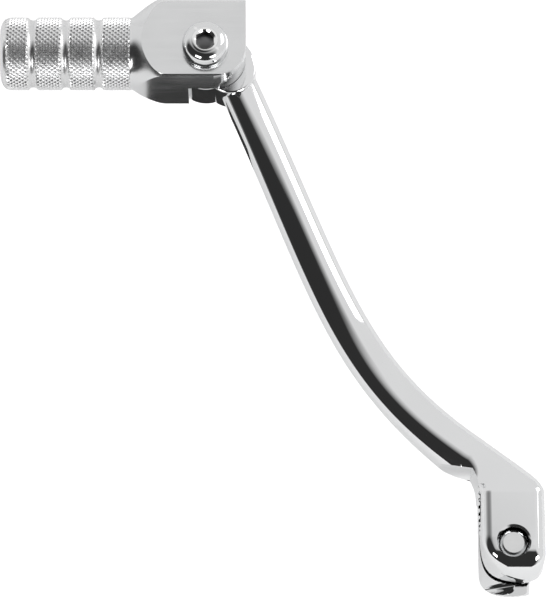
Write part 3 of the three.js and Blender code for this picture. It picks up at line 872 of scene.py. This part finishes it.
screwSizes = {
    "headRadius": 5.25,
    "rimHeight": 0.55,
    "crownRadius": 2.95,
    "socketFlats": 4.0,
    "socketDepth": 2.2,
    "threadPitch": 1.0,
    "shankRadius": 3.0,
    "threadDepth": 0.5,
    "threadTop": 2.6,
    "seatGap": 0.1,
    "domePoints": 14,
    "socketBore": 1.9,
}
washerSizes = {"outer": 5.0, "inner": 3.35, "edge": 0.12}
sleeveSizes = {"outer": 4.2, "inner": 3.3, "edge": 0.15}
springSizes = {"wire": 0.5, "radius": 5.0, "leg": 1.6, "bend": 0.45, "turns": 2.5, "points": 60}


def threadOutline(radius, bottom, top, pitch, depth):
    # a run of thread crests and roots from bottom to top
    points = [(0, bottom), (radius - depth - 0.3, bottom), (radius - depth, bottom + 0.3)]
    place = bottom + 0.3
    while place + pitch < top:
        points += [(radius, place + pitch * 0.4), (radius, place + pitch * 0.55),
                   (radius - depth, place + pitch)]
        place += pitch
    return points + [(radius, min(place + 0.5, top))]


def hexagonAt(centre, flats, turn=90):
    corner = flats / math.sqrt(3)
    return [(centre[0] + corner * math.cos(math.radians(turn + 60 * i)),
             centre[1] + corner * math.sin(math.radians(turn + 60 * i))) for i in range(6)]


def buildScrew():
    s = screwSizes
    seat = washerHigh.z / mm + s["seatGap"]
    top = screwHigh.z / mm
    outline = threadOutline(
        s["shankRadius"], screwLow.z / mm, s["threadTop"], s["threadPitch"], s["threadDepth"])
    outline += [(s["shankRadius"], seat), (s["headRadius"] - 0.15, seat), (s["headRadius"], seat + 0.15)]
    start = seat + s["rimHeight"]
    for i in range(s["domePoints"] + 1):
        angle = math.pi / 2 * i / s["domePoints"]
        reach = mix(s["crownRadius"], s["headRadius"], math.cos(angle) ** 0.9)
        outline.append((reach, start + (top - start - 0.05) * math.sin(angle)))
    outline += [(s["crownRadius"] - 0.12, top), (0, top)]
    screw = turned("pivotScrew", [(r * mm, a * mm) for r, a in outline], (pivotX, pivotY, 0), "Z", 96)
    depth = s["socketDepth"] * mm
    topZ = screwHigh.z
    socket = prism("socket", hexagonAt((pivotX, pivotY), s["socketFlats"] * mm), topZ - depth, topZ + 1 * mm)
    combine(screw, socket)
    cone = upright("cone", (pivotX, pivotY), s["socketBore"] * mm, topZ - 0.45 * mm, topZ + 0.4 * mm,
                   s["crownRadius"] * mm)
    combine(screw, cone)
    smoothBy(screw, 28)
    paint(screw, "platedFastener", "paintedSocketShade")
    # painted shade: the faces inside the socket take the dark finish
    limit = 2.35 * mm
    low, high = topZ - depth - 0.01 * mm, topZ - 0.3 * mm
    paintWhere(screw, 1, lambda face: low < face.center.z < high and math.hypot(
        face.center.x - pivotX, face.center.y - pivotY) < limit)
    hand(screw, "lever", "plated_fastener", "pivot_screw")
    return screw


def ring(name, centre, bottom, top, sizes, sides=96):
    # a turned washer with its edges eased in the outline
    outer, inner, edge = (sizes[key] * mm for key in ("outer", "inner", "edge"))
    outline = [(inner + edge, bottom), (outer - edge, bottom), (outer, bottom + edge), (outer, top - edge),
               (outer - edge, top), (inner + edge, top), (inner, top - edge), (inner, bottom + edge),
               (inner + edge, bottom)]
    return turned(name, outline, (centre[0], centre[1], 0), "Z", sides)


def springPath():
    # the coil's own line: a leg down into the arm, two and a half turns, and a leg up into the tip
    s = springSizes
    radius, count = s["radius"], s["points"]
    bottom = springLow.z / mm + s["leg"] + s["wire"]
    top = springHigh.z / mm - s["leg"] - s["wire"]
    points = [(-radius, 0, springLow.z / mm), (-radius, 0, bottom - s["bend"])]
    for i in range(1, count):
        share = i / count
        angle = math.pi + fullTurn * s["turns"] * share
        height = mix(bottom, top, mix(share, easeInOut(share), 0.25))
        points.append((radius * math.cos(angle), radius * math.sin(angle), height))
    points += [(radius, 0, top + s["bend"]), (radius, 0, springHigh.z / mm)]
    return [(pivotX + x * mm, pivotY + y * mm, z * mm) for x, y, z in points]


def buildSpring():
    clearSelection()
    bpy.ops.curve.primitive_nurbs_path_add(location=(0, 0, 0))
    line = bpy.context.object
    line.data.splines.clear()
    spline = line.data.splines.new("NURBS")
    path = springPath()
    spline.points.add(len(path) - 1)
    for point, place in zip(spline.points, path):
        point.co = (*place, 1)
    spline.use_endpoint_u = True
    spline.order_u = 3
    spline.resolution_u = 3
    line.data.bevel_depth = 0.48 * mm
    line.data.bevel_resolution = 4
    line.data.use_fill_caps = True
    pick(line)
    bpy.ops.object.convert(target="MESH")
    spring = named(bpy.context.object, "returnSpring")
    tidyMesh(spring)
    smoothBy(spring, 40)
    paint(spring, "springSteel")
    hand(spring, "lever", "hidden_steel", "return_spring")
    return spring


screw = buildScrew()
washer = ring("thrustWasher", (pivotX, pivotY), washerLow.z, washerHigh.z, washerSizes)
smoothBy(washer)
paint(washer, "platedFastener")
hand(washer, "lever", "plated_fastener", "thrust_washer")
sleeve = ring("pivotSleeve", (pivotX, pivotY), sleeveLow.z, sleeveHigh.z, sleeveSizes)
smoothBy(sleeve)
paint(sleeve, "springSteel")
hand(sleeve, "lever", "hidden_steel", "pivot_sleeve")
spring = buildSpring()
print("pivot hardware ready")


# pinch bolt and its lock washer

boltSizes = {"radius": 3.0, "pitch": 1.0, "flats": 10.0, "endChamfer": 0.7, "threadDepth": 0.5,
             "shank": 4.0, "seatGap": 0.1, "dish": 3.4}
lockSizes = {"outer": 5.0, "inner": 3.3, "edge": 0.12, "gap": 1.0, "slantDeg": 25}


def buildBolt():
    s = boltSizes
    headTop = lockLow.z / mm - s["seatGap"]
    end = boltHigh.z / mm
    low = boltLow.z / mm
    radius, root = s["radius"], s["radius"] - s["threadDepth"]
    place = headTop + s["shank"]
    outline = [(0, headTop - 1.0), (radius, headTop - 1.0), (radius, place)]
    while place + s["pitch"] < end - s["endChamfer"]:
        outline += [(root, place + 0.45), (radius, place + 0.9), (radius, place + 1.0)]
        place += s["pitch"]
    outline += [(radius - 0.1, end - s["endChamfer"]), (radius - s["endChamfer"], end), (0, end)]
    bolt = turned("pinchBolt", [(r * mm, a * mm) for r, a in outline], (0, boltY, 0), "Z", 64)
    head = prism("head", hexagonAt((0, boltY), s["flats"] * mm), low * mm, headTop * mm)
    half = s["flats"] / 2
    corners = [(0, low), (half - 0.25, low), (half + 1.3, low + 0.9), (half + 1.3, headTop - 0.35),
               (half + 0.55, headTop), (0, headTop)]
    crown = turned("crown", [(r * mm, a * mm) for r, a in corners], (0, boltY, 0), "Z", 96)
    combine(head, crown, "INTERSECT")
    hollow = [(0, low - 1), (s["dish"], low - 1), (s["dish"] - 0.3, low + 0.35), (0, low + 0.45)]
    dish = turned("dish", [(r * mm, a * mm) for r, a in hollow], (0, boltY, 0), "Z", 64)
    combine(head, dish)
    breakEdges(head, 0.12 * mm, 2, 28)
    combine(bolt, head, "UNION")
    smoothBy(bolt, 28)
    paint(bolt, "platedFastener")
    hand(bolt, "lever", "plated_fastener", "pinch_bolt")
    return bolt


def buildLockWasher():
    washer = ring("lockWasher", (0, boltY), lockLow.z, lockHigh.z, lockSizes)
    half = lockSizes["gap"] / 2 * mm
    cut = block("cut", (-half, boltY - 7 * mm, -3 * mm), (half, boltY - 2.5 * mm, 3 * mm))
    cut.rotation_euler = (0, math.radians(lockSizes["slantDeg"]), 0)
    cut.location = (0, 0, (lockLow.z + lockHigh.z) / 2)
    settlePlace(cut)
    combine(washer, cut)
    smoothBy(washer)
    paint(washer, "platedFastener")
    hand(washer, "lever", "plated_fastener", "pinch_lock_washer")
    return washer


bolt = buildBolt()
buildLockWasher()
print("clamp hardware ready")


# floor, lights and camera; places in metres

studio = {
    "cameraPlace": (-0.05256, -0.20024, 0.77195),
    "cameraTiltDeg": 17.8,
    "lens": 237.36,
    "sensor": 36,
    "floorSize": 8,
    "darkSide": (-0.42, -0.68, 0.60),
    "lightLevel": 0.78,
    "darkLevel": 0.03,
    "edge": (0.37, 0.60),
    "paperGlow": (0.3, 0.75),       # seen in reflections, and seen directly
    "paperShade": (0.7, 0.74),
    "cardSize": (0.025, 0.013),
    "cardShade": (0.03, 0.05),
}


def buildFloor():
    clearSelection()
    bpy.ops.mesh.primitive_plane_add(size=studio["floorSize"], location=(0, 0, cadBounds[0][2]))
    floor = named(bpy.context.object, "floor")
    settlePlace(floor)
    material = bpy.data.materials.new("paleFloor")
    material.use_nodes = True
    tree = material.node_tree
    shader = tree.nodes["Principled BSDF"]
    noise = addNode(tree, "ShaderNodeTexNoise", Scale=3)
    place = addNode(tree, "ShaderNodeTexCoord")
    tree.links.new(place.outputs["Object"], noise.inputs["Vector"])
    shade = mapRange(tree, noise.outputs["Fac"], 0, 1, *studio["paperShade"])
    tree.links.new(shade, shader.inputs["Base Color"])
    shader.inputs["Roughness"].default_value = 0.9
    # seen directly the paper is lit through from below, as on a light table
    seen = addNode(tree, "ShaderNodeLightPath")
    glow = mapRange(tree, seen.outputs["Is Camera Ray"], 0, 1, *studio["paperGlow"])
    shader.inputs["Emission Color"].default_value = (1, 1, 1, 1)
    tree.links.new(glow, shader.inputs["Emission Strength"])
    floor.data.materials.append(material)


def buildCard():
    # a small black card under the ear, seen only in the milled front: a painted shadow standing in for the
    # tip's own shadow on the floor
    clearSelection()
    place = (pivotX - 1.6 * mm, frontFlatY - 7.5 * mm, cadBounds[0][2] + 0.6 * mm)
    bpy.ops.mesh.primitive_plane_add(size=1, location=place)
    card = named(bpy.context.object, "paintedShadowCard")
    card.scale = (*studio["cardSize"], 1)
    settlePlace(card)
    material = bpy.data.materials.new("paintedShadowCard")
    material.use_nodes = True
    tree = material.node_tree
    noise = addNode(tree, "ShaderNodeTexNoise", Scale=300)
    coords = addNode(tree, "ShaderNodeTexCoord")
    tree.links.new(coords.outputs["Object"], noise.inputs["Vector"])
    shade = mapRange(tree, noise.outputs["Fac"], 0, 1, *studio["cardShade"])
    tree.links.new(shade, tree.nodes["Principled BSDF"].inputs["Base Color"])
    card.data.materials.append(material)
    card.visible_camera = False
    card.visible_shadow = False
    card.visible_diffuse = False


def buildWorld():
    world = bpy.data.worlds.new("studioRoom")
    bpy.context.scene.world = world
    world.use_nodes = True
    tree = world.node_tree
    background = tree.nodes["Background"]
    place = addNode(tree, "ShaderNodeTexCoord")
    facing = addNode(tree, "ShaderNodeVectorMath", operation="DOT_PRODUCT")
    axis = Vector(studio["darkSide"]).normalized()
    facing.inputs[1].default_value = axis
    tree.links.new(place.outputs["Generated"], facing.inputs[0])
    level = mapRange(tree, facing.outputs["Value"], *studio["edge"],
                     studio["lightLevel"], studio["darkLevel"])
    tree.links.new(level, background.inputs["Color"])


def softbox(name, place, target, size, power):
    light = bpy.data.lights.new(name, "AREA")
    light.shape = "RECTANGLE"
    light.size, light.size_y = size
    light.energy = power
    lamp = bpy.data.objects.new(name, light)
    bpy.context.scene.collection.objects.link(lamp)
    lamp.location = place
    lamp.rotation_euler = (Vector(target) - Vector(place)).to_track_quat("-Z", "Y").to_euler()


def buildCamera():
    camera = bpy.data.cameras.new("mainCamera")
    camera.sensor_fit = "HORIZONTAL"
    camera.sensor_width = studio["sensor"]
    camera.lens = studio["lens"]
    camera.clip_start = 0.01
    camera.clip_end = 50
    holder = bpy.data.objects.new("mainCamera", camera)
    bpy.context.scene.collection.objects.link(holder)
    holder.location = studio["cameraPlace"]
    holder.rotation_euler = (math.radians(studio["cameraTiltDeg"]), 0, 0)
    bpy.context.scene.camera = holder


buildFloor()
buildCard()
buildWorld()
middle = (-0.04, 0.05, 0)
softbox("backSoftbox", (0.68, 0.52, 0.55), middle, (0.45, 0.65), 2.0)
softbox("leftSoftbox", (-0.42, -0.5, 0.42), middle, (0.3, 0.28), 1.5)
softbox("rightSoftbox", (0.34, -0.5, 0.42), middle, (0.3, 0.28), 1.5)
buildCamera()
bpy.context.scene.view_settings.view_transform = "Standard"
